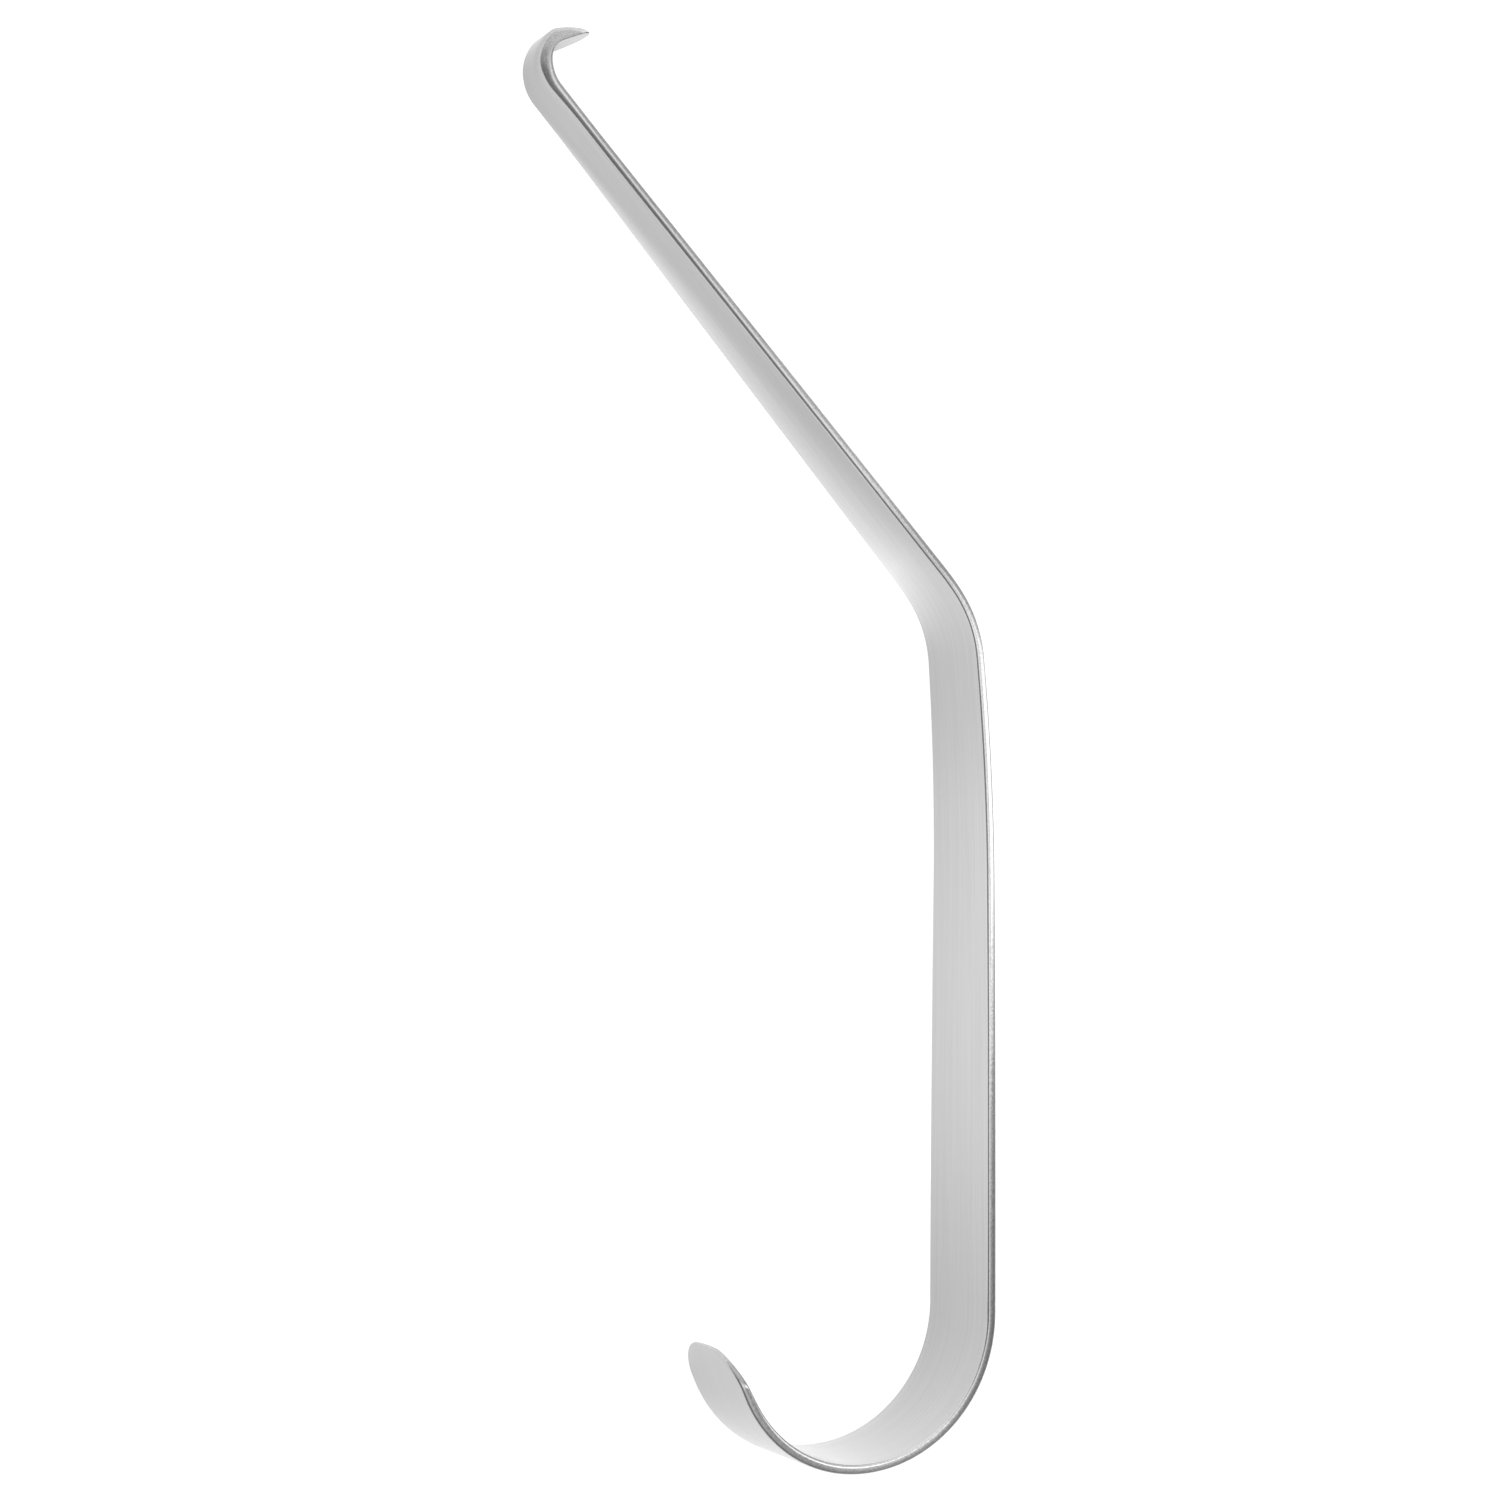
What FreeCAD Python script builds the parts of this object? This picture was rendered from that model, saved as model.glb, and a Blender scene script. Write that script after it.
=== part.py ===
import FreeCAD, Part
import Sketcher
import math
import os

os.makedirs("parts", exist_ok=True)

# Handheld retractor: one strip of steel, bent in one plane. It lies on its
# side edge, as it comes to rest on a table, so the bends run in the XY plane
# and the strip's width stands along Z. The profile is drawn from the foot of
# the straight grip (0, 0), with the back face on x = 0. Millimetres.

doc = FreeCAD.newDocument("Retractor")
sizes = doc.addObject("Spreadsheet::Sheet", "Sizes")

SIZES = [
    ("thickness", 2.0, "strip thickness"),
    ("grip_length", 86.8, "straight grip between the blade and the middle bend"),
    ("bow_radius", 551.0, "slight bow that leads into the middle bend"),
    ("bow_angle", 4.85, "turn of that bow, degrees"),
    ("elbow_radius", 26.7, "back-face radius of the middle bend"),
    ("elbow_angle", 31.25, "turn of the middle bend, degrees"),
    ("relax_radius", 51.2, "gentler radius that leads out of the middle bend"),
    ("relax_angle", 6.3, "turn on that radius, degrees"),
    ("shank_length", 123.5, "straight shank up to the small hook"),
    ("hook_radius", 7.5, "first radius of the small hook, hollow side"),
    ("hook_angle", 42.35, "turn on the first radius, degrees"),
    ("crook_radius", 4.3, "second, tighter radius of the small hook"),
    ("crook_angle", 67.0, "turn on the second radius, degrees"),
    ("hook_lip", 7.5, "straight lip of the small hook"),
    ("hook_lip_thickness", 0.7, "thickness at the end of the small lip"),
    ("knuckle_angle", 65.0, "turn of the front face on the hook's first radius, degrees"),
    ("knuckle_radius", 3.9, "radius that ends the front face's bend"),
    ("blade_radius", 30.3, "first radius of the large blade, back face"),
    ("blade_angle", 96.0, "turn on the first radius, degrees"),
    ("scoop_radius", 27.2, "second radius of the large blade, back face"),
    ("scoop_angle", 60.5, "turn on the second radius, degrees"),
    ("blade_lip", 9.3, "straight lip of the large blade"),
    ("blade_lip_thickness", 1.1, "thickness at the end of the large lip"),
    ("blade_width", 25.6, "width of the strip through the large blade"),
    ("hook_width", 13.0, "width of the strip through the small hook"),
    ("taper_foot", 2.0, "height where the taper starts"),
    ("taper_head", 3.5, "height over the shank's top where the taper ends"),
    ("taper_ease", 22.8, "height over which the taper eases off before that"),
    ("blade_corner", 7.9, "corner radius of the large lip's outline"),
    ("hook_end_flat", 1.0, "straight end of the small lip between its round corners"),
    ("back_rounding", 0.5, "rounding of the back face's edges up to the shank"),
    ("hook_back_rounding", 0.25, "rounding of the back face's edges round the small hook"),
    ("front_rounding", 0.45, "rounding of the front face's edges up to the shank"),
    ("shank_rounding", 1.0, "rounding of the front face's edges at the shank's top"),
    ("shank_run", 73.0, "height over which the roundings change, up to the shank's top"),
    ("hook_land", 0.4, "edge left between the roundings round the small hook"),
]
for row, (alias, value, note) in enumerate(SIZES, start=1):
    sizes.set("A%d" % row, alias)
    sizes.set("B%d" % row, str(value))
    sizes.set("C%d" % row, note)
    sizes.setAlias("B%d" % row, alias)
doc.recompute()


def size(alias):
    """The number in one named cell."""
    return float(sizes.get(alias))


V = FreeCAD.Vector


def unit(heading):
    """Unit vector at a heading in radians."""
    return V(math.cos(heading), math.sin(heading), 0)


def chain(moves, start, heading):
    """Lays lines and tangent arcs end to end. A move is (name, length) for a
    line or (name, radius, turn in radians, left positive) for an arc."""
    laid = []
    here = start
    for move in moves:
        if len(move) == 2:
            there = here + unit(heading) * move[1]
            laid.append((move[0], Part.LineSegment(here, there), 1, 2))
        else:
            side = 1 if move[2] > 0 else -1
            centre = here + unit(heading + side * math.pi / 2) * move[1]
            first = heading - side * math.pi / 2
            last = first + move[2]
            circle = Part.Circle(centre, V(0, 0, 1), move[1])
            if side > 0:
                laid.append((move[0], Part.ArcOfCircle(circle, first, last), 1, 2))
            else:
                laid.append((move[0], Part.ArcOfCircle(circle, last, first), 2, 1))
            there = centre + unit(last) * move[1]
            heading += move[2]
        here = there
    return laid, here, heading


degree = math.pi / 180.0
thick = size("thickness")

# Back face, from the foot of the grip upwards: grip, bow, elbow, shank and
# the small hook, which turns the other way; then from the foot downwards:
# the large blade and its lip.
UP = [
    ("grip", size("grip_length")),
    ("bow", size("bow_radius"), size("bow_angle") * degree),
    ("elbow", size("elbow_radius"), size("elbow_angle") * degree),
    ("relax", size("relax_radius"), size("relax_angle") * degree),
    ("shank", size("shank_length")),
    ("hook", size("hook_radius"), -size("hook_angle") * degree),
    ("crook", size("crook_radius"), -size("crook_angle") * degree),
    ("hook_lip", size("hook_lip")),
]
DOWN = [
    ("blade", size("blade_radius"), -size("blade_angle") * degree),
    ("scoop", size("scoop_radius"), -size("scoop_angle") * degree),
    ("blade_lip", size("blade_lip")),
]


def one_thickness_off(moves, left):
    """The same moves along the front face, which lies left (1) or right (-1)
    of the way along the chain: a bend towards it is hollow and smaller."""
    out = []
    for move in moves:
        if len(move) == 2:
            out.append(move)
        else:
            out.append((move[0], move[1] - math.copysign(thick, move[2] * left), move[2]))
    return out


def ending(moves, start, heading, tip):
    """The chain with its last bend and lip fitted to a given tip: the lip is
    the tangent from the tip to that bend's circle, so the bend ends where
    the angle between its radius and the line to the tip has the cosine
    radius / distance."""
    laid, here, heading = chain(moves[:-2], start, heading)
    name, radius, angle = moves[-2]
    side = 1 if angle > 0 else -1
    centre = here + unit(heading + side * math.pi / 2) * radius
    away = tip - centre
    last = math.atan2(away.y, away.x) - side * math.acos(radius / away.Length)
    first = heading - side * math.pi / 2
    turn = side * ((side * (last - first)) % (2 * math.pi))
    lip = math.sqrt(away.Length ** 2 - radius ** 2)
    rest, here, heading = chain([(name, radius, turn), (moves[-1][0], lip)], here, heading)
    return laid + rest, here


back_up, back_top, heading_top = chain(UP, V(0, 0, 0), math.pi / 2)
back_down, back_tip, heading_tip = chain(DOWN, V(0, 0, 0), -math.pi / 2)
FRONT_UP = one_thickness_off(UP, 1)
FRONT_UP[-3] = ("hook", FRONT_UP[-3][1], -size("knuckle_angle") * degree)
FRONT_UP[-2] = ("crook", size("knuckle_radius"), FRONT_UP[-2][2])
FRONT_DOWN = one_thickness_off(DOWN, -1)
front_up, front_top = ending(
    FRONT_UP, V(-thick, 0, 0), math.pi / 2,
    back_top + unit(heading_top + math.pi / 2) * size("hook_lip_thickness"))
front_down, front_tip = ending(
    FRONT_DOWN, V(-thick, 0, 0), -math.pi / 2,
    back_tip + unit(heading_tip - math.pi / 2) * size("blade_lip_thickness"))

body = doc.addObject("PartDesign::Body", "Strip")
body.Label = "strip"
PLANE = {feature.Role: feature for feature in body.Origin.OriginFeatures}


def add_sketch(name, plane):
    """A sketch on one of the body's own origin planes."""
    sketch = body.newObject("Sketcher::SketchObject", name)
    sketch.AttachmentSupport = [(PLANE[plane], "")]
    sketch.MapMode = "FlatFace"
    return sketch


def bind(sketch, number, name, expression):
    """Names a dimension and ties it to the sheet."""
    sketch.renameConstraint(number, name)
    sketch.setExpression("Constraints." + name, expression)


profile = add_sketch("Profile", "XY_Plane")
rule = Sketcher.Constraint
placed = {}


def place(laid, face):
    """Draws one chain and joins its neighbours tangentially."""
    before = None
    for name, curve, first, last in laid:
        number = profile.addGeometry(curve, False)
        placed[face + name] = (number, first, last)
        if before is not None:
            profile.addConstraint(rule("Tangent", before[0], before[2], number, first))
        before = (number, first, last)


place(back_up, "back_")
place(back_down, "back_")
place(front_up, "front_")
place(front_down, "front_")
for face in ("back_", "front_"):
    grip = placed[face + "grip"]
    blade = placed[face + "blade"]
    profile.addConstraint(rule("Tangent", grip[0], grip[1], blade[0], blade[1]))
    profile.addConstraint(rule("Vertical", grip[0]))

profile.addConstraint(rule("Coincident", placed["back_grip"][0], 1, -1, 1))
for move in UP + DOWN:
    name = move[0]
    number = placed["back_" + name][0]
    if len(move) == 2:
        label = name if name.endswith("lip") else name + "_length"
        bind(profile, profile.addConstraint(rule("Distance", number, move[1])),
             name + "_run", "Sizes." + label)
    else:
        bind(profile, profile.addConstraint(rule("Radius", number, move[1])),
             name + "_bend", "Sizes.%s_radius" % name)
        bind(profile, profile.addConstraint(rule("Angle", number, abs(move[2]))),
             name + "_turn", "Sizes.%s_angle * 1 deg" % name)
        if name != "crook":
            mate = placed["front_" + name][0]
            profile.addConstraint(rule("Coincident", mate, 3, number, 3))
profile.addConstraint(rule("Parallel", placed["front_shank"][0], placed["back_shank"][0]))
# Round the small hook the front face is not parallel to the back: it stays
# on the first radius for longer and then turns tighter, so the strip is
# thickest at the crook and thin at the lip's end.
bind(profile, profile.addConstraint(
    rule("Angle", placed["front_hook"][0], size("knuckle_angle") * degree)),
     "knuckle_turn", "Sizes.knuckle_angle * 1 deg")
bind(profile, profile.addConstraint(
    rule("Radius", placed["front_crook"][0], size("knuckle_radius"))),
     "knuckle_bend", "Sizes.knuckle_radius")
bind(profile, profile.addConstraint(rule("DistanceX", placed["front_grip"][0], 1, -1, 1, thick)),
     "gauge", "Sizes.thickness")

# The shank's top, where the small hook starts, is measured, not driven: the
# taper and the growing rounding are placed from it.
crown = back_up[4][1].EndPoint.y
number = profile.addConstraint(
    rule("DistanceY", -1, 1, placed["back_shank"][0], 2, crown))
profile.setDriving(number, False)
profile.renameConstraint(number, "crown")

for lip, back_end, front_end in (
        ("hook_lip", back_top, front_top), ("blade_lip", back_tip, front_tip)):
    number = profile.addGeometry(Part.LineSegment(back_end, front_end), False)
    back = placed["back_" + lip]
    front = placed["front_" + lip]
    profile.addConstraint(rule("Coincident", number, 1, back[0], back[2]))
    profile.addConstraint(rule("Coincident", number, 2, front[0], front[2]))
    profile.addConstraint(rule("Perpendicular", number, back[0]))
    bind(profile, profile.addConstraint(rule("Distance", number, 1.0)),
         lip + "_gauge", "Sizes.%s_thickness" % lip)
doc.recompute()

blank = body.newObject("PartDesign::Pad", "Blank")
blank.Profile = profile
blank.Midplane = True
blank.setExpression("Length", "Sizes.blade_width + 6")
profile.Visibility = False

# Plan outline, looking along X: full width through the large blade, one long
# curve in towards the small hook, a short one that levels out again. What
# lies outside it is cut away on one side and mirrored to the other.
half_blade = size("blade_width") / 2
half_hook = size("hook_width") / 2
foot = size("taper_foot")
head = crown + size("taper_head")
waist = head - size("taper_ease")
slope = 2 * math.atan((half_blade - half_hook) / (head - foot))
long_radius = (waist - foot) / math.sin(slope)
short_radius = (head - waist) / math.sin(slope)
low = -(size("blade_radius") + 10)
high = crown + size("hook_radius") + size("crook_radius") + 20
top = half_blade + 6

outline = add_sketch("Outline", "YZ_Plane")
waist_height = half_blade - long_radius * (1 - math.cos(slope))
long_circle = Part.Circle(V(foot, half_blade - long_radius, 0), V(0, 0, 1), long_radius)
short_circle = Part.Circle(V(head, half_hook + short_radius, 0), V(0, 0, 1), short_radius)
quarter = math.pi / 2
edges = [
    Part.LineSegment(V(low, half_blade, 0), V(foot, half_blade, 0)),
    Part.ArcOfCircle(long_circle, quarter - slope, quarter),
    Part.ArcOfCircle(short_circle, -quarter - slope, -quarter),
    Part.LineSegment(V(head, half_hook, 0), V(high, half_hook, 0)),
    Part.LineSegment(V(high, half_hook, 0), V(high, top, 0)),
    Part.LineSegment(V(high, top, 0), V(low, top, 0)),
    Part.LineSegment(V(low, top, 0), V(low, half_blade, 0)),
]
outline.addGeometry(edges, False)
outline.addConstraint([
    rule("Tangent", 0, 2, 1, 2),
    rule("Tangent", 1, 1, 2, 1),
    rule("Tangent", 2, 2, 3, 1),
    rule("Coincident", 3, 2, 4, 1),
    rule("Coincident", 4, 2, 5, 1),
    rule("Coincident", 5, 2, 6, 1),
    rule("Coincident", 6, 2, 0, 1),
    rule("Horizontal", 0),
    rule("Horizontal", 3),
    rule("Vertical", 4),
    rule("Horizontal", 5),
    rule("Vertical", 6),
])
bind(outline, outline.addConstraint(rule("DistanceY", -1, 1, 0, 2, half_blade)),
     "half_blade", "Sizes.blade_width / 2")
bind(outline, outline.addConstraint(rule("DistanceY", -1, 1, 3, 1, half_hook)),
     "half_hook", "Sizes.hook_width / 2")
bind(outline, outline.addConstraint(rule("DistanceX", -1, 1, 0, 2, foot)),
     "foot", "Sizes.taper_foot")
bind(outline, outline.addConstraint(rule("DistanceX", -1, 1, 2, 2, head)),
     "head", "Profile.Constraints.crown + Sizes.taper_head * 1 mm")
bind(outline, outline.addConstraint(rule("DistanceX", 1, 1, 2, 2, head - waist)),
     "ease", "Sizes.taper_ease")
bind(outline, outline.addConstraint(rule("DistanceY", -1, 1, 5, 1, top)),
     "top", "Sizes.blade_width / 2 + 6")
bind(outline, outline.addConstraint(rule("DistanceX", 6, 1, -1, 1, -low)),
     "low", "Sizes.blade_radius + 10")
bind(outline, outline.addConstraint(rule("DistanceX", -1, 1, 4, 1, high)),
     "high", "Profile.Constraints.crown + (Sizes.hook_radius + Sizes.crook_radius + 20) * 1 mm")
doc.recompute()

trim = body.newObject("PartDesign::Pocket", "Trim")
trim.Profile = outline
trim.Type = "ThroughAll"
trim.Midplane = True
outline.Visibility = False
doc.recompute()

both = body.newObject("PartDesign::Mirrored", "TrimBoth")
both.Originals = [trim]
both.MirrorPlane = (PLANE["XY_Plane"], [""])
body.Tip = both
doc.recompute()


def corner_pair(shape, back_end, front_end):
    """The two short edges across the strip's thickness at one end: of the
    edges over those two points, the lowest and the highest."""
    over = []
    for number, edge in enumerate(shape.Edges, start=1):
        flat = [V(v.X, v.Y, 0) for v in edge.Vertexes]
        if len(flat) == 2:
            gap = min(flat[0].distanceToPoint(back_end) + flat[1].distanceToPoint(front_end),
                      flat[1].distanceToPoint(back_end) + flat[0].distanceToPoint(front_end))
            if gap < 0.001:
                over.append((edge.CenterOfMass.z, "Edge%d" % number))
    over.sort()
    return [over[0][1], over[-1][1]]


# Outlines of the two lips: each end's corners rounded until little of the
# straight end is left between them.
blade_end = body.newObject("PartDesign::Fillet", "BladeEnd")
blade_end.Base = (both, corner_pair(both.Shape, back_tip, front_tip))
blade_end.setExpression("Radius", "Sizes.blade_corner")
body.Tip = blade_end
doc.recompute()

hook_end = body.newObject("PartDesign::Fillet", "HookEnd")
hook_end.Base = (blade_end, corner_pair(blade_end.Shape, back_top, front_top))
hook_end.setExpression("Radius", "(Sizes.hook_width - Sizes.hook_end_flat) / 2")
body.Tip = hook_end
doc.recompute()


def broad_faces(shape, laid):
    """The faces that carry one chain of the profile, found at the middle of
    each move, on the strip's centre plane."""
    found = []
    for name, curve, first, last in laid:
        middle = curve.value((curve.FirstParameter + curve.LastParameter) / 2)
        spot = Part.Vertex(middle)
        gaps = [face.distToShape(spot)[0] for face in shape.Faces]
        found.append(shape.Faces[gaps.index(min(gaps))])
    return found


def rim(shape, faces):
    """Names of the edges round a set of faces: those that only one of them
    owns."""
    names = []
    for number, edge in enumerate(shape.Edges, start=1):
        owners = 0
        for face in faces:
            owners += sum(1 for other in face.Edges if other.isSame(edge))
        if owners == 1:
            names.append("Edge%d" % number)
    return names


# All long edges are rounded, and the ends with them: evenly up to the shank,
# and from there more and more on the front face, until the small hook is
# round-shouldered and only a thin edge is left between the two faces.
shape = body.Shape
back_line = Part.Compound([laid[1].toShape() for laid in back_up])


def between(even, full, point):
    """A radius that changes with height up to the shank's top."""
    share = (point.y - crown) / size("shank_run") + 1.0
    return even + (full - even) * min(1.0, max(0.0, share))


def back_rounding(point):
    """Radius of the back face's edges at a point."""
    return between(size("back_rounding"), size("hook_back_rounding"), point)


def front_rounding(point):
    """Radius of the front face's edges at a point: round the small hook, all
    that the back face's rounding and the land leave of the edge's height."""
    if point.y > crown + thick:
        across = back_line.distToShape(Part.Vertex(V(point.x, point.y, 0)))[0]
        least = size("hook_back_rounding")
        return max(least, across - least - size("hook_land"))
    return between(size("front_rounding"), size("shank_rounding"), point)


rounded = []
for laid, radius_at in (
        (back_up + back_down, back_rounding), (front_up + front_down, front_rounding)):
    for name in rim(shape, broad_faces(shape, laid)):
        edge = shape.Edges[int(name[4:]) - 1]
        start = radius_at(edge.valueAt(edge.FirstParameter))
        end = radius_at(edge.valueAt(edge.LastParameter))
        rounded.append((int(name[4:]), start, end))

retractor = doc.addObject("Part::Fillet", "Retractor")
retractor.Label = "retractor"
retractor.Base = body
retractor.Edges = rounded
body.Visibility = False
doc.recompute()


def stands_over(mass, corners):
    """True where a point lies over a triangle, seen from above."""
    sides = []
    for a, b in zip(corners, corners[1:] + corners[:1]):
        sides.append((b.x - a.x) * (mass.y - a.y) - (b.y - a.y) * (mass.x - a.x))
    return min(sides) >= 0 or max(sides) <= 0


def resting_turn(solid):
    """The turn that lays the strip's lower edge on a level floor. Of all the
    planes through three points of that edge with none below them, it takes
    the one whose triangle the centre of mass stands over."""
    low_points = []
    for edge in solid.Edges:
        if edge.CenterOfMass.z < -size("hook_width") / 4:
            low_points += edge.discretize(3)
    mass = solid.Solids[0].CenterOfMass
    spread = {(round(p.x), round(p.y)): p for p in low_points}
    points = list(spread.values())
    for a in range(len(points)):
        for b in range(a + 1, len(points)):
            for c in range(b + 1, len(points)):
                corners = (points[a], points[b], points[c])
                if not stands_over(mass, corners):
                    continue
                up = (points[b] - points[a]).cross(points[c] - points[a])
                if up.Length < 1.0:
                    continue
                up = up * (math.copysign(1.0, up.z) / up.Length)
                if all((p - points[a]).dot(up) > -0.001 for p in points):
                    return FreeCAD.Rotation(up, V(0, 0, 1))
    return FreeCAD.Rotation()


# The strip is turned to its resting pose, then the middle of its box is
# brought over the origin and its lowest point to the floor, z = 0.
turn = resting_turn(body.Shape)
body.Placement = FreeCAD.Placement(V(0, 0, 0), turn)
doc.recompute()
box = retractor.Shape.optimalBoundingBox(False, False)
body.Placement = FreeCAD.Placement(V(-box.Center.x, -box.Center.y, -box.ZMin), turn)
doc.recompute()

for item in doc.Objects:
    if "Invalid" in item.State or "Error" in item.State:
        raise RuntimeError("%s did not build" % item.Name)
made = retractor.Shape
if made.isNull() or not made.isValid() or len(made.Solids) != 1:
    raise RuntimeError("the strip is not one sound solid")

made.exportStep("parts/%s.step" % retractor.Label)
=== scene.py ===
import math

import bpy
import numpy as np
from mathutils import Matrix, Vector


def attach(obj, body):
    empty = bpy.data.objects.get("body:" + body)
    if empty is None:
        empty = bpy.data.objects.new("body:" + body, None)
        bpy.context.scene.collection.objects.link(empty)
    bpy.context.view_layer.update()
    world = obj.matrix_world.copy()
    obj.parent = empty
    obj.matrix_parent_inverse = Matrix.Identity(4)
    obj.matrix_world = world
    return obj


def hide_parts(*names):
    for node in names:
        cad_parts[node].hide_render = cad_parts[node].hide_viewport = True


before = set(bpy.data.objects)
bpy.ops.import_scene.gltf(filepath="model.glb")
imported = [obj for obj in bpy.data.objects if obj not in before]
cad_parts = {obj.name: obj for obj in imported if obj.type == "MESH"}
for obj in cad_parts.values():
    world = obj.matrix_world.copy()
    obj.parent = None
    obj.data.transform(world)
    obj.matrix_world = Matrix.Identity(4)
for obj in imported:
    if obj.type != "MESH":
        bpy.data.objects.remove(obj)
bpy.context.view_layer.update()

# Strip: the whole instrument is one strip of stainless steel, cut to a
# tapering outline, bent in one plane and rounded along its edges. It lies on
# its side edge, the way it comes to rest.

MM = 0.001
THICKNESS = 2.0 * MM


def unit(heading):
    """Unit vector at a heading: its cosine and its sine."""
    return np.stack([np.cos(heading), np.sin(heading)], axis=-1)


def arc(radius, degrees):
    """Length and turn of an arc; left turns are positive."""
    return radius * math.radians(abs(degrees)), math.radians(degrees)


def lay(stretches, heading, start):
    """Joints of a chain of (length, turn) stretches: length so far, heading,
    curvature and point. A stretch's chord is its length times sin(x)/x along
    the heading at its middle, x being half of its turn."""
    length, turn = np.array(stretches).T
    headings = heading + np.concatenate([[0.0], np.cumsum(turn)])
    chords = (length * np.sinc(turn / 2 / math.pi))[:, None] * unit(headings[:-1] + turn / 2)
    joints = np.concatenate([[0.0], np.cumsum(length)])
    points = start + np.concatenate([[[0, 0]], np.cumsum(chords, axis=0)])
    return joints, headings, turn / length, points


def walk(chain, along):
    """Point, heading and curvature at lengths along a chain."""
    joints, headings, curvature, points = chain
    which = np.clip(np.searchsorted(joints, along, side="right") - 1, 0, len(curvature) - 1)
    run = along - joints[which]
    half = curvature[which] * run / 2
    chords = (run * np.sinc(half / math.pi))[..., None] * unit(headings[which] + half)
    return points[which] + chords, headings[which] + 2 * half, curvature[which]


# The back face runs from the end of the large blade's lip to the end of the
# small hook's lip. The grip starts at the origin and heads along +Y.
SCOOP, HOOK = 27.2 * MM, 7.5 * MM
GRIP, SHANK = (86.8 * MM, 0.0), (123.5 * MM, 0.0)
BLADE_START, GRIP_START, SHANK_START, HOOK_START = 2, 3, 7, 8
stretches = [
    (9.3 * MM, 0.0),              # large lip
    arc(SCOOP, 60.5),
    arc(30.3 * MM, 96.0),         # large blade
    GRIP,
    arc(551.0 * MM, 4.85),
    arc(26.7 * MM, 31.25),        # middle bend
    arc(51.2 * MM, 6.3),
    SHANK,
    arc(HOOK, -42.35),            # small hook
    arc(4.3 * MM, -67.0),
    (7.5 * MM, 0.0),              # small lip
]
back = lay(stretches, 0.0, np.zeros(2))
back = lay(stretches, math.pi / 2 - back[1][GRIP_START], np.zeros(2))
back = (*back[:3], back[3] - back[3][GRIP_START])
joint, heading, _, corner = back
shank_top = joint[HOOK_START]


def left_of(angle):
    """Unit vector a quarter turn to the left of a heading."""
    return unit(angle + math.pi / 2)


def lip_line(tip, centre, radius):
    """Heading and length of the line from a lip's tip that touches a circle
    on its left: the sine of its angle to the centre is radius / distance."""
    away = centre - tip
    distance = np.hypot(*away)
    bearing = math.atan2(away[1], away[0]) - math.asin(radius / distance)
    return bearing, math.sqrt(distance ** 2 - radius ** 2)


# The front face is one thickness to the left, and closer at the two tips,
# where its lips are tangent to its last bends. Round the small hook it keeps
# the first bend for longer and then turns tighter, so the crook is thickest.
LARGE_TIP, SMALL_TIP = 1.1 * MM, 0.7 * MM
KNUCKLE, KNUCKLE_TURN = 3.4 * MM, 76.0
scoop_front = SCOOP - THICKNESS
large_tip = corner[0] + left_of(heading[0]) * LARGE_TIP
scoop_centre = corner[BLADE_START] + left_of(heading[BLADE_START]) * SCOOP
large_heading, large_lip = lip_line(large_tip, scoop_centre, scoop_front)
scoop_turn = heading[BLADE_START] - large_heading
small_tip = corner[-1] + left_of(heading[-1]) * SMALL_TIP
knuckle_heading = heading[HOOK_START] - math.radians(KNUCKLE_TURN)
knuckle_centre = (corner[HOOK_START] - left_of(heading[HOOK_START]) * HOOK
                  + left_of(knuckle_heading) * (HOOK + THICKNESS - KNUCKLE))
tip_heading, small_lip = lip_line(small_tip, knuckle_centre, KNUCKLE)
small_heading = tip_heading + math.pi
knuckle_turn = (small_heading - knuckle_heading + math.pi) % (2 * math.pi) - math.pi
front = lay([
    (large_lip, 0.0),
    (scoop_front * scoop_turn, scoop_turn),
    *[(run - THICKNESS * turn, turn) for run, turn in stretches[BLADE_START:HOOK_START]],
    arc(HOOK + THICKNESS, -KNUCKLE_TURN),
    (-KNUCKLE * knuckle_turn, knuckle_turn),
    (small_lip, 0.0),
], large_heading, large_tip)

# Each point of the front face stands over a foot on the back face, found by
# Newton's rule: move the foot by the tangent part of the gap over 1 - kh.
FRONT_STEP, NEWTON_STEPS = 0.02 * MM, 12
front_along = np.arange(0, front[0][-1], FRONT_STEP)
front_point, front_course, _ = walk(front, front_along)
foot = np.interp(front_along, front[0], joint)
for _ in range(NEWTON_STEPS):
    point, course, curvature = walk(back, foot)
    gap = front_point - point
    ahead = (gap * unit(course)).sum(axis=1)
    over = (gap * left_of(course)).sum(axis=1)
    foot = foot + ahead / (1 - curvature * over)


def gauge(along):
    """Thickness of the strip over the back face at a length along it."""
    return np.interp(along, foot, over)


# The outline, from the height along the grip: full width through the blade,
# one long curve in, and a short one that levels out at the small hook.
HALF_BLADE, HALF_HOOK = 12.8 * MM, 6.5 * MM
TAPER_FOOT, TAPER_PAST, TAPER_EASE = 2.0 * MM, 3.5 * MM, 22.8 * MM
taper_head = corner[HOOK_START][1] + TAPER_PAST
taper_waist = taper_head - TAPER_EASE
slope = 2 * math.atan((HALF_BLADE - HALF_HOOK) / (taper_head - TAPER_FOOT))
long_radius = (taper_waist - TAPER_FOOT) / math.sin(slope)
short_radius = (taper_head - taper_waist) / math.sin(slope)


def half_width(height):
    """Half of the strip's width: two circles that meet at the waist, the
    first tangent to the blade's edge and the second to the hook's."""
    rise = np.clip(height, TAPER_FOOT, taper_waist) - TAPER_FOOT
    drop = taper_head - np.clip(height, taper_waist, taper_head)
    wide = HALF_BLADE - long_radius + np.sqrt(long_radius ** 2 - rise ** 2)
    slim = HALF_HOOK + short_radius - np.sqrt(short_radius ** 2 - drop ** 2)
    return np.where(height < taper_waist, wide, slim)


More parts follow.
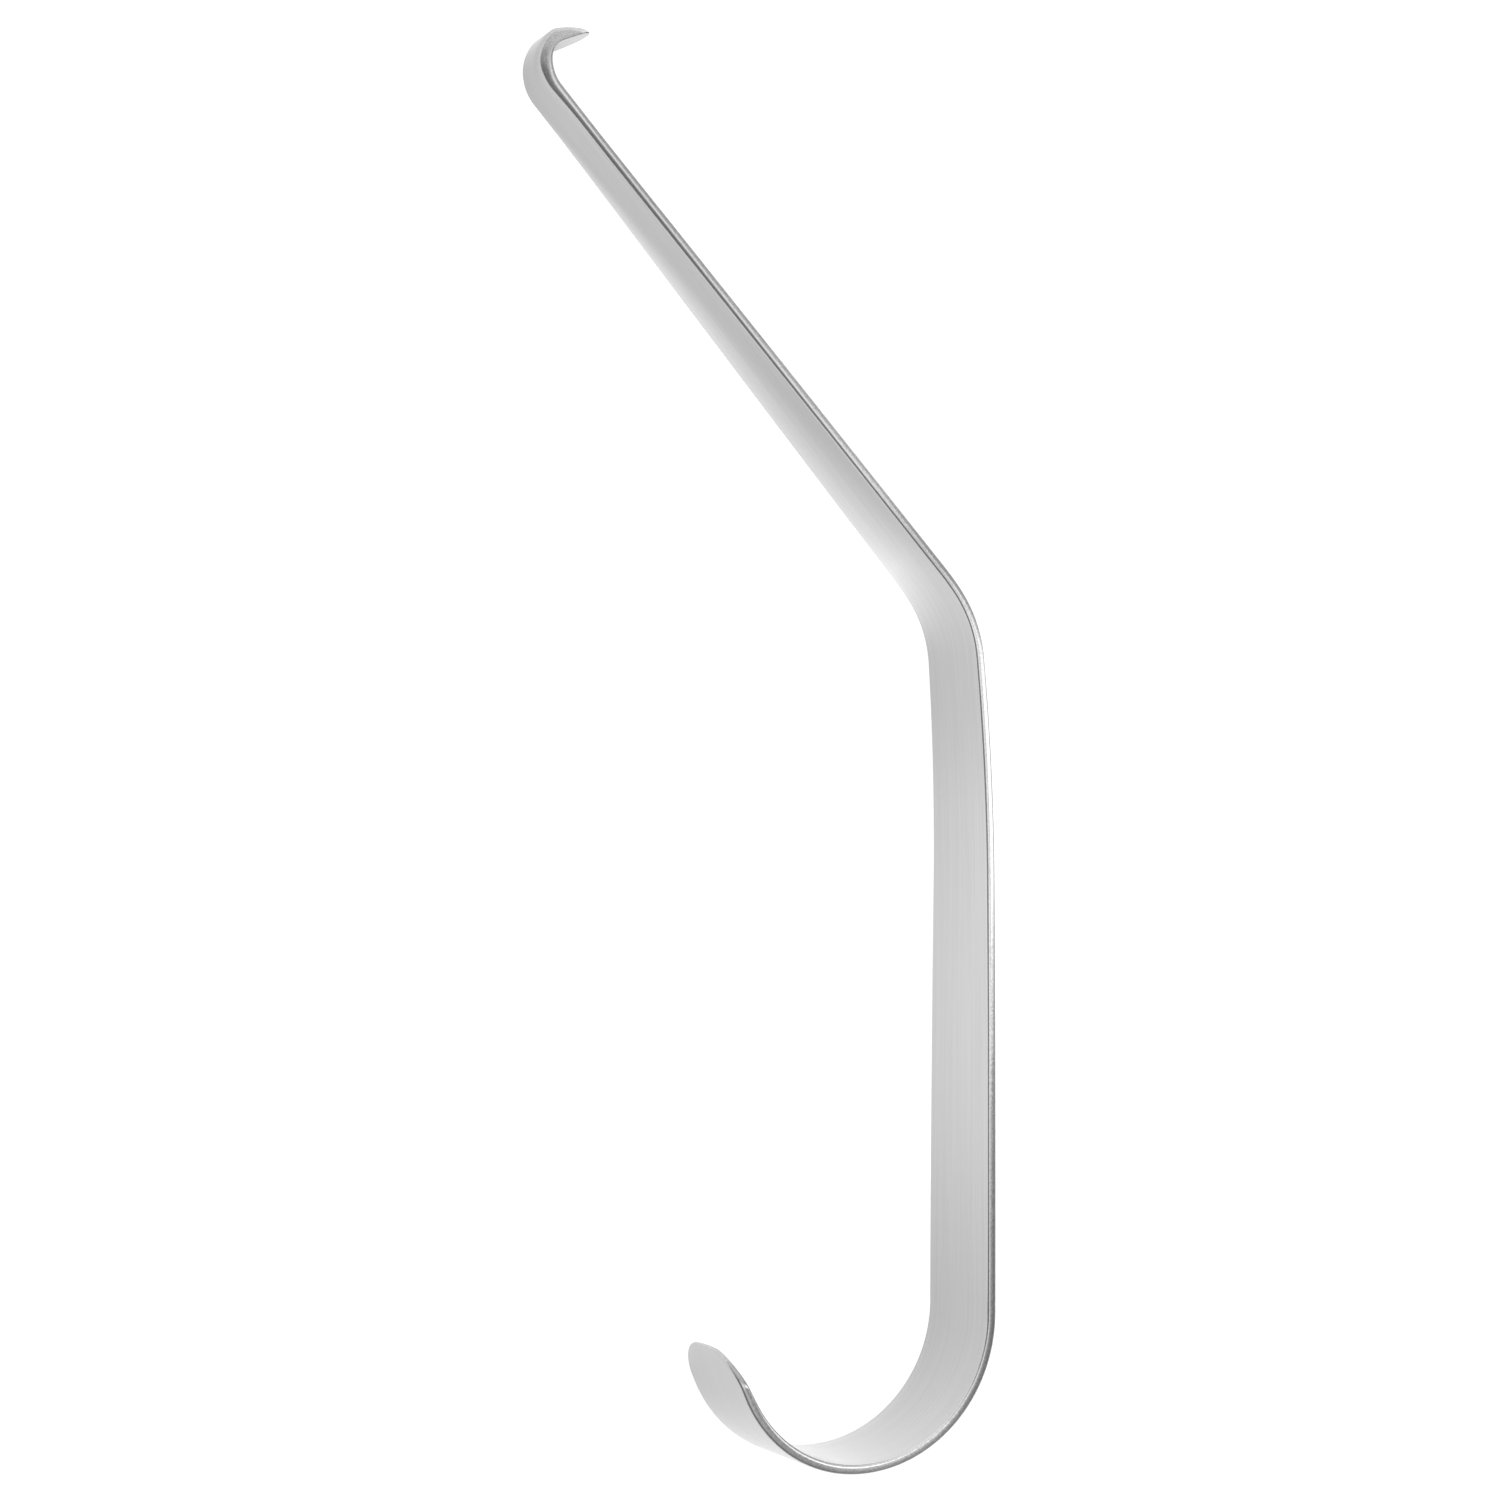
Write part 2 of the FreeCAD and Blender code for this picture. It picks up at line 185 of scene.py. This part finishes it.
# Roundings of the long edges: small and even up to the shank. From there to
# the small hook the back's gets smaller and the front's larger, until only a
# thin land is left between them. At the small tip both are small.
BACK_ROUNDING, HOOK_BACK_ROUNDING = 0.5 * MM, 0.25 * MM
FRONT_ROUNDING, SHANK_ROUNDING = 0.45 * MM, 1.0 * MM
HOOK_LAND, LAND_RUN = 0.4 * MM, 4.0 * MM
BLADE_CORNER, HOOK_CORNER = 7.9 * MM, 6.0 * MM
land_start, corner_start = shank_top + LAND_RUN, joint[-1] - HOOK_CORNER


def back_rounding(along):
    """Radius of the back face's edges: it falls evenly up the shank."""
    return np.interp(along, [joint[SHANK_START], shank_top], [BACK_ROUNDING, HOOK_BACK_ROUNDING])


def front_rounding(along):
    """Radius of the front face's edges: it grows up the shank, then it is
    what the thickness leaves, and it falls off round the tip's corners."""
    grown = np.interp(along, [joint[SHANK_START], shank_top], [FRONT_ROUNDING, SHANK_ROUNDING])
    left = gauge(np.minimum(along, corner_start)) - HOOK_BACK_ROUNDING - HOOK_LAND
    turned = np.sqrt(np.clip((joint[-1] - along) / HOOK_CORNER, 0, 1))
    left = HOOK_BACK_ROUNDING + (left - HOOK_BACK_ROUNDING) * turned
    return grown + (left - grown) * np.clip((along - shank_top) / (land_start - shank_top), 0, 1)


# Rows run across the strip. Between the round corners they are spaced evenly
# in effort, which grows with the turn and with the length, and through each
# corner by equal angles of its arc.
ROW_ANGLE, ROW_RUN = math.radians(1.8), 2.0 * MM
CORNER_ROWS = 28
effort = np.concatenate([[0.0], np.cumsum([
    abs(turn) / ROW_ANGLE + run / ROW_RUN for run, turn in stretches])])
ends = np.interp([BLADE_CORNER, corner_start], joint, effort)
middle_rows = np.interp(np.linspace(ends[0], ends[1], int(ends[1] - ends[0])), effort, joint)
quarter = np.linspace(0, math.pi / 2, CORNER_ROWS, endpoint=False)
blade_arc = BLADE_CORNER * (1 - np.cos(quarter))
hook_arc = joint[-1] - HOOK_CORNER * (1 - np.cos(quarter[::-1]))
side_along = np.concatenate([blade_arc, middle_rows, hook_arc])
side_inward = np.concatenate([
    np.cos(quarter), np.zeros_like(middle_rows), -np.cos(quarter[::-1])])
side_cut = np.concatenate([
    BLADE_CORNER * (1 - np.sin(quarter)),
    np.zeros_like(middle_rows),
    HOOK_CORNER * (1 - np.sin(quarter[::-1])),
])
side_across = half_width(walk(back, side_along)[0][:, 1]) - side_cut

# The rim is a closed loop in the flat strip: up one side, across the hook's
# end, down the other side and across the blade's end.
COLUMNS = 14
rows = len(side_along)
column_shares = np.linspace(-1, 1, COLUMNS + 1)[1:-1]
across_end = np.ones(COLUMNS - 1)
rim_along = np.concatenate([
    side_along, across_end * side_along[-1], side_along[::-1], across_end * side_along[0]])
rim_across = np.concatenate([
    side_across, -column_shares * side_across[-1],
    -side_across[::-1], column_shares * side_across[0]])
inward_along = np.concatenate([side_inward, -across_end, side_inward[::-1], across_end])
tilt = np.sqrt(np.maximum(1 - side_inward ** 2, 0.0))
inward_across = np.concatenate([-tilt, 0 * across_end, tilt[::-1], 0 * across_end])

# Section of the edge, from the back face to the front: a quarter round, the
# land, and a quarter round.
QUARTER_STEPS, LAND_STEPS = 10, 4
sweep = np.linspace(0, math.pi / 2, QUARTER_STEPS + 1)
land = np.linspace(0, 1, LAND_STEPS + 1)[1:-1]
rim = len(rim_along)
rim_round = front_rounding(rim_along)[:, None]
back_round = back_rounding(rim_along)[:, None]
inset = np.concatenate([
    back_round * (1 - np.sin(sweep)),
    np.zeros((rim, LAND_STEPS - 1)),
    rim_round * (1 - np.cos(sweep)),
], axis=1)
rim_gauge = gauge(rim_along[:, None] + inward_along[:, None] * inset)
depth = np.concatenate([
    back_round * (1 - np.cos(sweep)),
    back_round + land * (rim_gauge[:, [QUARTER_STEPS]] - rim_round - back_round),
    rim_gauge[:, -QUARTER_STEPS - 1:] - rim_round * (1 - np.sin(sweep)),
], axis=1)
edge_along = rim_along[:, None] + inward_along[:, None] * inset
edge_across = rim_across[:, None] + inward_across[:, None] * inset
steps = inset.shape[1]

# Lean of the shading normals: none on the back face, a half turn on the front
# face. The land is shaded a little round, as it is from hand grinding, and
# from the blade to the middle of the grip it leans a little to the back.
LAND_BARREL, LAND_TURN = math.radians(13), math.radians(6)
LAND_TURN_PLACES = (40 * MM, 70 * MM, 127 * MM, 145 * MM)
CROOK_SOFT, SOFT_FALL = math.radians(42), 1.5
SOFT_REACH, SOFT_RUN = 5.0 * MM, 7.0 * MM


def crook_soft(along, across):
    """How far the front face's normal leans out where it meets the upper
    edge: the crook of the small hook is polished soft there."""
    places = [joint[HOOK_START] - SOFT_RUN, joint[HOOK_START + 1], joint[HOOK_START + 2]]
    return np.where(across > 0, np.interp(along, places, [0, CROOK_SOFT, 0]), 0)


share = np.linspace(0, 1, QUARTER_STEPS + 1)
land_turn = LAND_TURN * np.interp(rim_along, LAND_TURN_PLACES, (0, 1, 1, 0))[:, None]
land_back = math.pi / 2 - LAND_BARREL - land_turn
land_front = math.pi / 2 + LAND_BARREL - land_turn
front_end = math.pi - crook_soft(rim_along, rim_across)[:, None]
edge_lean = np.concatenate([
    land_back * share,
    land_back + (land_front - land_back) * land,
    land_front + (front_end - land_front) * share,
], axis=1)


def fill(column):
    """Points inside one face: on each row, even shares of the way from one
    side's rim point to the other's."""
    inner = slice(1, rows - 1)
    along = np.repeat(edge_along[:rows, column][inner, None], COLUMNS - 1, axis=1)
    across = edge_across[:rows, column][inner, None] * column_shares
    return along, across


# All points of the flat strip: those of the edge, then those inside the back
# face and inside the front face.
back_along, back_across = fill(0)
face_along, face_across = fill(-1)
flat = np.stack([
    np.concatenate([edge_along.ravel(), back_along.ravel(), face_along.ravel()]),
    np.concatenate([edge_across.ravel(), back_across.ravel(), face_across.ravel()]),
    np.concatenate([depth.ravel(), 0 * back_along.ravel(), gauge(face_along.ravel())]),
], axis=1)
from_edge = edge_across[1:rows - 1, -1, None] - np.abs(face_across)
soft = crook_soft(face_along, face_across) * np.clip(1 - from_edge / SOFT_REACH, 0, 1) ** SOFT_FALL
lean = np.concatenate([
    edge_lean.ravel(), np.zeros(back_along.size), math.pi - soft.ravel()])
edge_outward = -np.stack([inward_along, inward_across], axis=1)
face_outward = np.stack([0 * face_across.ravel(), np.sign(face_across.ravel())], axis=1)
outward = np.concatenate([
    np.repeat(edge_outward, steps, axis=0), 0 * face_outward, face_outward])

# The large blade's end is arched between its round corners.
ARCH, ARCH_REACH = 2.0 * MM, 0.4 * MM
toward_end = np.clip(1 - flat[:, 0] / BLADE_CORNER, 0, 1)
flat[:, 0] += toward_end * (ARCH * (flat[:, 1] / HALF_BLADE) ** 2 - ARCH_REACH)

# Bent to shape: a point of the flat strip goes to the back face's point at
# its length, and from there its depth along the face's normal.
point, course, _ = walk(back, flat[:, 0])
level = np.zeros(len(flat))
tangent = np.column_stack([unit(course), level])
normal = np.column_stack([left_of(course), level])
upright = np.array([0.0, 0.0, 1.0])
bent = np.column_stack([point, flat[:, 1]]) + normal * flat[:, 2:]

# Shading normals: they swing from the back face's normal through the
# outline's to the front face's.
front_normal = np.column_stack([left_of(np.interp(flat[:, 0], foot, front_course)), level])
sideways = tangent * outward[:, :1] + upright * outward[:, 1:]
facing = np.where(np.cos(lean)[:, None] > 0, -normal, front_normal)
shade = facing * np.abs(np.cos(lean))[:, None] + sideways * np.sin(lean)[:, None]

# Its resting pose: a small turn about a level axis, then the box's middle
# over the origin and its lowest point on the floor.
REST_TURN, REST_AXIS = math.radians(1.722), (-0.67992, -0.73326, 0)
rest = np.array(Matrix.Rotation(REST_TURN, 3, REST_AXIS))
bent = bent @ rest.T
shade = shade @ rest.T
low, high = bent.min(axis=0), bent.max(axis=0)
bent -= [(low[0] + high[0]) / 2, (low[1] + high[1]) / 2, low[2]]


def quads(grid):
    """Quads of a grid of vertex numbers, in the order of its rows."""
    corners = [grid[:-1, :-1], grid[1:, :-1], grid[1:, 1:], grid[:-1, 1:]]
    return np.stack(corners, axis=-1).reshape(-1, 4)


edge_grid = np.arange(rim * steps).reshape(rim, steps)
edge_grid = np.concatenate([edge_grid, edge_grid[:1]])
far_side = slice(rows + COLUMNS - 1, 2 * rows + COLUMNS - 1)


def face_grid(column, first):
    """Vertex numbers of one face: its frame is the rim, its inside is new."""
    grid = np.empty((rows, COLUMNS + 1), dtype=int)
    loop = edge_grid[:-1, column]
    grid[1:-1, 1:-1] = first + np.arange((rows - 2) * (COLUMNS - 1)).reshape(rows - 2, -1)
    grid[:, -1] = loop[:rows]
    grid[:, 0] = loop[far_side][::-1]
    grid[-1, 1:-1] = loop[rows:far_side.start][::-1]
    grid[0, 1:-1] = loop[far_side.stop:]
    return grid


first_inside = rim * steps
faces = np.concatenate([
    quads(edge_grid),
    quads(face_grid(0, first_inside)),
    quads(face_grid(-1, first_inside + back_along.size))[:, ::-1],
])

mesh = bpy.data.meshes.new("strip")
mesh.from_pydata(bent, [], faces)
mesh.polygons.foreach_set("use_smooth", np.ones(len(faces), dtype=bool))
mesh.normals_split_custom_set_from_vertices(shade)
place = mesh.attributes.new("flat_strip", "FLOAT_VECTOR", "POINT")
place.data.foreach_set("vector", flat.ravel())
edge_weight = mesh.attributes.new("edge", "FLOAT", "POINT")
edge_weight.data.foreach_set("value", np.sin(lean))
mesh.update()
strip = bpy.data.objects.new("strip", mesh)
bpy.context.scene.collection.objects.link(strip)

# Its steel: satin, ground along the strip, so the fine lines follow every
# bend. Its grey drifts along each face and along the edges, partly as polish and
# partly as painted highlights and painted shade; the edges are ground across and show coarser grit
# marks.
steel = bpy.data.materials.new("satin_steel")
steel.use_nodes = True
tree = steel.node_tree
shader = tree.nodes["Principled BSDF"]
shader.inputs["Metallic"].default_value = 1.0


def node(kind, **settings):
    """A new node of the current tree with its properties set."""
    made = tree.nodes.new("ShaderNode" + kind)
    for name, value in settings.items():
        setattr(made, name, value)
    return made


def noise(scale, detail):
    """Noise on the flat strip's coordinates, stretched by a scale per axis
    (along, across, through), in cells per metre."""
    stretch = node("VectorMath", operation="MULTIPLY")
    stretch.inputs[1].default_value = scale
    tree.links.new(where.outputs["Vector"], stretch.inputs[0])
    grain = node("TexNoise")
    grain.inputs["Scale"].default_value = 1.0
    grain.inputs["Detail"].default_value = detail
    tree.links.new(stretch.outputs[0], grain.inputs["Vector"])
    return grain.outputs["Fac"]


def spread(value, low, high, out_low, out_high):
    """A value mapped from one range to another, and held at its ends."""
    scale = node("MapRange")
    limits = {"From Min": low, "From Max": high, "To Min": out_low, "To Max": out_high}
    for name, number in limits.items():
        scale.inputs[name].default_value = number
    tree.links.new(value, scale.inputs["Value"])
    return scale.outputs[0]


def maths(operation, first, second):
    """One step of arithmetic; the second term may be a plain number."""
    made = node("Math", operation=operation)
    tree.links.new(first, made.inputs[0])
    if isinstance(second, float):
        made.inputs[1].default_value = second
    else:
        tree.links.new(second, made.inputs[1])
    return made.outputs[0]


def mix(share, first, second):
    """From the first value, at no share, to the second, at a full one."""
    return maths("ADD", first, maths("MULTIPLY", maths("SUBTRACT", second, first), share))


def grey_ramp(stops, interpolation):
    """A ramp of greys from (place, grey) pairs."""
    made = node("ValToRGB")
    made.color_ramp.interpolation = interpolation
    made.color_ramp.elements.remove(made.color_ramp.elements[1])
    for number, (place, grey) in enumerate(stops):
        stop = made.color_ramp.elements[0] if number == 0 else made.color_ramp.elements.new(place)
        stop.position = place
        stop.color = (grey, grey, grey, 1)
    return made


def polish_and_painted_light(stops):
    """A smooth ramp of greys along the strip, from (millimetres, grey) pairs: polish, with painted
    highlights and painted shade.
    """
    length = stops[-1][0]
    made = grey_ramp([(place / length, grey) for place, grey in stops], "B_SPLINE")
    tree.links.new(spread(cells.outputs["X"], 0.0, length * MM, 0.0, 1.0), made.inputs["Fac"])
    return made.outputs["Color"]


# Length along the strip in millimetres, how much light the steel returns:
# polish, with painted highlights and painted shade, such as the bright edge
# round the large blade and the darker small hook.
FRONT_POLISH_AND_PAINTED_LIGHT = (
    (0, 0.42), (22, 0.46), (42, 0.56), (62, 0.50), (80, 0.44), (94, 0.42), (125, 0.52),
    (160, 0.54), (190, 0.525), (208, 0.46), (224, 0.46), (238, 0.56), (258, 0.40), (286, 0.375),
    (314, 0.43), (340, 0.44), (356, 0.45), (366, 0.45), (374, 0.31), (384, 0.36),
)
BACK_POLISH_AND_PAINTED_LIGHT = (
    (0, 0.42), (22, 0.46), (42, 0.62), (62, 0.66), (80, 0.48), (342, 0.45), (362, 0.20), (384, 0.20),
)
EDGE_POLISH_AND_PAINTED_LIGHT = (
    (0, 0.46), (22, 0.50), (34, 0.56), (46, 0.80), (60, 0.82), (72, 0.58), (84, 0.48),
    (94, 0.46), (125, 0.62), (160, 0.63), (190, 0.57), (206, 0.50), (222, 0.58), (234, 0.60),
    (246, 0.40), (262, 0.66), (286, 0.63), (314, 0.54), (342, 0.44), (362, 0.50), (384, 0.54),
)
FACE_SKIN = 0.3 * MM

where = node("Attribute", attribute_name="flat_strip")
on_edge = node("Attribute", attribute_name="edge").outputs["Fac"]
cells = node("SeparateXYZ")
tree.links.new(where.outputs["Vector"], cells.inputs[0])
lines = noise((40.0, 9000.0, 9000.0), 3.0)
streaks = noise((25.0, 1400.0, 1400.0), 2.0)
clouds = noise((90.0, 160.0, 160.0), 2.0)
grit = noise((2600.0, 3400.0, 3400.0), 3.0)

# Grey of the steel: back, front and edge ramps of polish with painted highlights and painted shade,
# blended by depth and by the edge weight.
off_back = spread(cells.outputs["Z"], 0.0, FACE_SKIN, 0.0, 1.0)
tone = mix(off_back, polish_and_painted_light(BACK_POLISH_AND_PAINTED_LIGHT), polish_and_painted_light(FRONT_POLISH_AND_PAINTED_LIGHT))
tone = mix(on_edge, tone, polish_and_painted_light(EDGE_POLISH_AND_PAINTED_LIGHT))
tone = maths("MULTIPLY", tone, spread(streaks, 0.3, 0.7, 0.97, 1.03))
tone = maths("MULTIPLY", tone, spread(lines, 0.25, 0.75, 0.965, 1.035))
speckle = maths("MULTIPLY", spread(grit, 0.3, 0.7, -0.16, 0.16), on_edge)
tone = maths("MULTIPLY", tone, maths("ADD", speckle, 1.0))
tree.links.new(tone, shader.inputs["Base Color"])

rough = maths("ADD", spread(clouds, 0.3, 0.7, 0.15, 0.20), spread(lines, 0.25, 0.75, -0.02, 0.03))
rough = maths("ADD", rough, maths("MULTIPLY", spread(grit, 0.35, 0.65, 0.0, 0.06), on_edge))
tree.links.new(rough, shader.inputs["Roughness"])

bump = node("Bump")
bump.inputs["Strength"].default_value = 0.12
bump.inputs["Distance"].default_value = 0.02 * MM
tree.links.new(maths("ADD", lines, maths("MULTIPLY", grit, on_edge)), bump.inputs["Height"])
tree.links.new(bump.outputs[0], shader.inputs["Normal"])
mesh.materials.append(steel)

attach(strip, "root")
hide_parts("retractor")

# Floor: a plain white table that runs far out. The camera, and rays that are
# mirrored or pass through, see it white with the strip's soft shadow. Diffuse
# light sees a plain matt sheet.
REACH = 12.0
floor_mesh = bpy.data.meshes.new("floor")
floor_mesh.from_pydata(
    [(-REACH, -REACH, 0), (REACH, -REACH, 0), (REACH, REACH, 0), (-REACH, REACH, 0)],
    [], [(0, 1, 2, 3)])
floor = bpy.data.objects.new("floor", floor_mesh)
bpy.context.scene.collection.objects.link(floor)
paper = bpy.data.materials.new("white_paper")
paper.use_nodes = True
tree = paper.node_tree
tree.nodes.clear()
matt = node("BsdfDiffuse")
matt.inputs["Color"].default_value = (0.8, 0.8, 0.8, 1)
white = node("Emission")
white.inputs["Color"].default_value = (1, 1, 1, 1)

# A wedge of light is painted into the floor's glow, broad at the middle bend
# and slim at the hook, standing in for light the shank's polished face throws
# beside it. On the white table only the face itself mirrors it, as a painted reflection.
WEDGE_START, WEDGE_HEADING = (0.0370, 0.0375, 0.0), 132.4
WEDGE_WIDE, WEDGE_SLIM, WEDGE_LENGTH = 9.0 * MM, 0.8 * MM, 123.0 * MM
FADE_IN = (-16.0 * MM, 2.0 * MM)
FADE_OUT = (WEDGE_LENGTH - 8.0 * MM, WEDGE_LENGTH + 4.0 * MM)
UNDER_STRIP = -0.5 * MM
TABLE_GLOW, PAINTED_WEDGE_GLOW = 0.74, 1.45
table = node("TexCoord")
away = node("VectorMath", operation="SUBTRACT")
away.inputs[1].default_value = WEDGE_START
tree.links.new(table.outputs["Object"], away.inputs[0])


def reach(degrees):
    """How far a floor point lies from the wedge's start in a heading."""
    dot = node("VectorMath", operation="DOT_PRODUCT")
    dot.inputs[1].default_value = (*unit(math.radians(degrees)), 0.0)
    tree.links.new(away.outputs[0], dot.inputs[0])
    return dot.outputs["Value"]


up_shank, off_face = reach(WEDGE_HEADING), reach(WEDGE_HEADING + 90)
wide = spread(up_shank, 0.0, WEDGE_LENGTH, WEDGE_WIDE, WEDGE_SLIM)
painted_glow = spread(maths("DIVIDE", off_face, wide), 0.0, 1.0, 1.0, 0.0)
painted_glow = maths("MULTIPLY", painted_glow, spread(up_shank, *FADE_IN, 0.0, 1.0))
painted_glow = maths("MULTIPLY", painted_glow, spread(up_shank, *FADE_OUT, 1.0, 0.0))
painted_glow = maths("MULTIPLY", painted_glow, maths("GREATER_THAN", off_face, UNDER_STRIP))
tree.links.new(spread(painted_glow, 0.0, 1.0, TABLE_GLOW, PAINTED_WEDGE_GLOW), white.inputs["Strength"])

both = node("AddShader")
tree.links.new(matt.outputs[0], both.inputs[0])
tree.links.new(white.outputs[0], both.inputs[1])
path = node("LightPath")
seen = maths("MAXIMUM", path.outputs["Is Camera Ray"], path.outputs["Is Glossy Ray"])
seen = maths("MAXIMUM", seen, path.outputs["Is Transmission Ray"])
choose = node("MixShader")
tree.links.new(seen, choose.inputs["Fac"])
tree.links.new(matt.outputs[0], choose.inputs[1])
tree.links.new(both.outputs[0], choose.inputs[2])
tree.links.new(choose.outputs[0], node("OutputMaterial").inputs["Surface"])
floor_mesh.materials.append(paper)

# Light: a plain room, dim round the walls, brighter towards +Y and brightest
# straight overhead, and one tall window lamp across the strip from the camera,
# which the upper edge mirrors.
world = bpy.data.worlds.new("room")
bpy.context.scene.world = world
world.use_nodes = True
tree = world.node_tree
room = tree.nodes["Background"]
direction = node("TexCoord")
parts = node("SeparateXYZ")
tree.links.new(direction.outputs["Generated"], parts.inputs[0])
height_grey = grey_ramp((
    (0.0, 0.30), (0.62, 0.31), (0.80, 0.36), (0.90, 0.52), (0.96, 0.85), (1.0, 1.0)), "EASE")
tree.links.new(parts.outputs["Z"], height_grey.inputs["Fac"])
far_wall = grey_ramp((
    (0.0, 0.0), (0.2, 0.22), (0.36, 0.24), (0.6, 0.6), (1.0, 0.7)), "EASE")
tree.links.new(parts.outputs["Y"], far_wall.inputs["Fac"])
OVERHEAD_FROM, OVERHEAD_GLOW = 0.965, 0.6
overhead = spread(parts.outputs["Z"], OVERHEAD_FROM, 1.0, 0.0, OVERHEAD_GLOW)
walls = maths("ADD", height_grey.outputs["Color"], far_wall.outputs["Color"])
tree.links.new(maths("ADD", walls, overhead), room.inputs["Color"])

# The lamp's power is its radiance times pi times its area.
WINDOW_PLACE, WINDOW_AIM = Vector((0.72, 0.065, 0.74)), Vector((0.05, 0.005, 0.0))
WINDOW_WIDTH, WINDOW_HEIGHT, WINDOW_RADIANCE = 0.18, 0.8, 2.2
lamp = bpy.data.lights.new("window", "AREA")
lamp.shape = "RECTANGLE"
lamp.size, lamp.size_y = WINDOW_WIDTH, WINDOW_HEIGHT
lamp.energy = WINDOW_RADIANCE * math.pi * WINDOW_WIDTH * WINDOW_HEIGHT
window = bpy.data.objects.new("window", lamp)
window.location = WINDOW_PLACE
window.rotation_euler = (WINDOW_AIM - WINDOW_PLACE).to_track_quat("-Z", "Y").to_euler()
bpy.context.scene.collection.objects.link(window)

# Camera: above the strip and to the side of its front face, which it sees at a
# slant, with the upper edge towards it.
lens = bpy.data.cameras.new("camera")
lens.sensor_width = 36.0
lens.lens = 74.426
lens.clip_start, lens.clip_end = 0.01, 20
camera = bpy.data.objects.new("camera", lens)
camera.location = (-0.268102, -0.01782, 0.57449)
camera.rotation_euler = np.radians([1.3323, -25.3652, 0.9562])
bpy.context.scene.collection.objects.link(camera)
bpy.context.scene.camera = camera
bpy.context.scene.view_settings.view_transform = "Standard"
